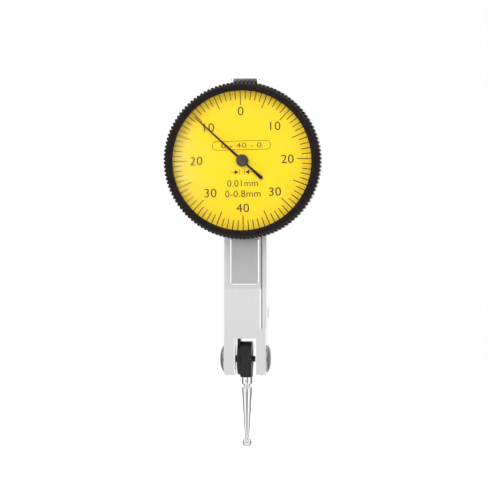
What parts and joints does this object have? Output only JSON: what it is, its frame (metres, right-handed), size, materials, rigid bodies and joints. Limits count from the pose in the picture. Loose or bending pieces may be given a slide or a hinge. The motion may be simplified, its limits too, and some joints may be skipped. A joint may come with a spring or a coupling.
{
  "type": "dial indicator",
  "caption": "Lever-type dial test indicator: a pivoted ball stylus turns a pointer over a rotatable toothed-bezel dial; dovetails on the bar clamp it in a holder.",
  "frame": {"origin": "centre of the top dovetail's outer flat face", "axes": "+Z out of the top dovetail's face and away from the stylus, -Y towards the reader of the dial, +X the reader's right"},
  "size_m": [0.032, 0.0182, 0.0755],
  "materials": {
    "satin_steel": "satin",
    "case_steel": "satin",
    "bright_steel": "polished",
    "screw_steel": "dark satin",
    "black_steel": "black oxide",
    "bezel_black": "black anodised satin",
    "brass": "machined",
    "gear_steel": "polished",
    "jewel": "clear ruby",
    "spring_blue": "blued steel",
    "crystal": "clear gloss",
    "gasket": "matt",
    "dial_yellow": "gloss print",
    "pointer_black": "satin"
  },
  "bodies": {
    "frame": {"body": "satin_steel", "dial_case": "case_steel", "case_screws": "screw_steel", "side_cover": "satin_steel", "side_cover_screws": "screw_steel", "pivot_screw_left": "bright_steel", "pivot_screw_right": "bright_steel", "jewel_bearings": "jewel", "pinion_cock": "brass", "cock_screws": "screw_steel", "movement_plate": "brass", "plate_screws": "screw_steel", "hairspring": "spring_blue", "hairspring_stud": "brass", "bezel_snap_ring": "gear_steel"},
    "lever": {"lever_arm": "black_steel", "pivot_axle": "black_steel", "contact_pin": "gear_steel", "swivel_washer": "gear_steel"},
    "stylus": {"stylus_holder": "black_steel", "stylus_shank": "bright_steel", "stylus_ball": "bright_steel"},
    "sector": {"sector_gear": "brass", "sector_arbor": "gear_steel"},
    "crown": {"crown_gear": "brass", "crown_pinion": "gear_steel", "crown_arbor": "gear_steel"},
    "pointer": {"centre_arbor": "gear_steel", "centre_pinion": "gear_steel", "hairspring_collet": "brass", "pointer": "pointer_black", "pointer_hub": "pointer_black"},
    "bezel": {"bezel": "bezel_black", "crystal": "crystal", "crystal_gasket": "gasket", "dial_face": "dial_yellow", "dial_ring": "gear_steel"}
  },
  "joints": [
    {"name": "pointer_spin", "type": "hinge", "parent": "frame", "child": "pointer", "pos_m": [0, -0.0105, -0.0169], "axis": [0, 1, 0], "range_deg": [0, 410], "stiffness_Nm_per_rad": 0.000006, "springref_deg": -114.59},
    {"name": "crown_spin", "type": "hinge", "parent": "frame", "child": "crown", "pos_m": [0, -0.0012, -0.0169], "axis": [1, 0, 0], "range_deg": [0, 103]},
    {"name": "sector_swing", "type": "hinge", "parent": "frame", "child": "sector", "pos_m": [0, -0.0012, -0.0311], "axis": [1, 0, 0], "range_deg": [-9.55, 0]},
    {"name": "lever_swing", "type": "hinge", "parent": "frame", "child": "lever", "pos_m": [0, 0, -0.0574], "axis": [1, 0, 0], "range_deg": [0, 3.08]},
    {"name": "stylus_swivel", "type": "hinge", "parent": "lever", "child": "stylus", "pos_m": [0, 0, -0.0574], "axis": [1, 0, 0], "range_deg": [-120, 120]},
    {"name": "bezel_turn", "type": "hinge", "parent": "frame", "child": "bezel", "pos_m": [0, -0.0105, -0.0169], "axis": [0, 1, 0], "continuous": true}
  ],
  "couplings": [
    {"joint": "crown_spin", "follows": "pointer_spin", "ratio": 0.25},
    {"joint": "sector_swing", "follows": "pointer_spin", "ratio": -0.023077},
    {"joint": "lever_swing", "follows": "pointer_spin", "ratio": 0.0074371}
  ]
}
